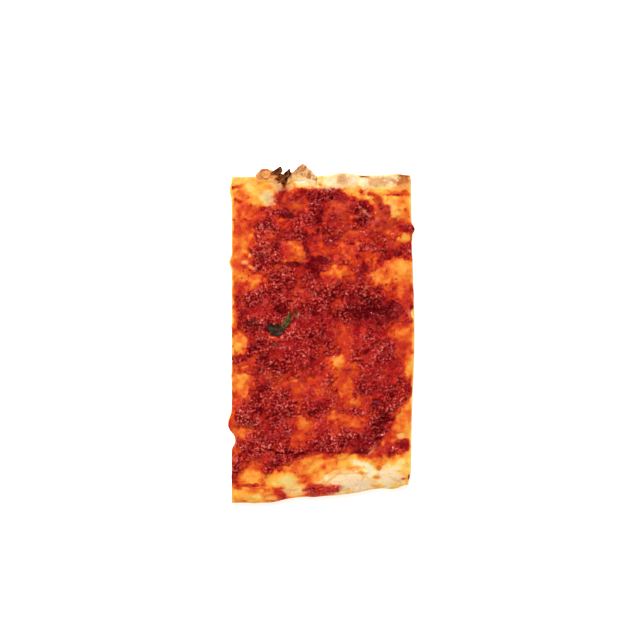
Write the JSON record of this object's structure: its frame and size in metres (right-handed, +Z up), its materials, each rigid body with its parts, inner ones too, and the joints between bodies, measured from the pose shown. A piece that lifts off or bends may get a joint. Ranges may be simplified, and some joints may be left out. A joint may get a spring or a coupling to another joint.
{
  "type": "slice of pizza al taglio",
  "caption": "Oblong slice of thin Roman-style pizza with rough tomato sauce, floury rims at both ends, cut sides and a burst blister.",
  "frame": {"origin": "middle of the slice's footprint, on the surface that it lies on", "axes": "+X across the slice from cut to cut, +Y along it towards the rim with the burst blister, +Z up out of the sauce"},
  "size_m": [0.1492, 0.273, 0.0154],
  "materials": {
    "crust": "baked dough: floury and matt at the rims, oily and orange beside the sauce, open crumb at the cuts",
    "sauce": "rough cooked tomato pulp, wet with oil, with small sharp glints",
    "basil": "small basil leaf baked dark, with a paler green stalk"
  },
  "bodies": {
    "root": {"crust": "crust", "tomato_sauce": "sauce", "rim_sauce_lump": "sauce", "rim_sauce_dab": "sauce", "corner_sauce_dab": "sauce", "basil_leaf": "basil"}
  },
  "joints": []
}
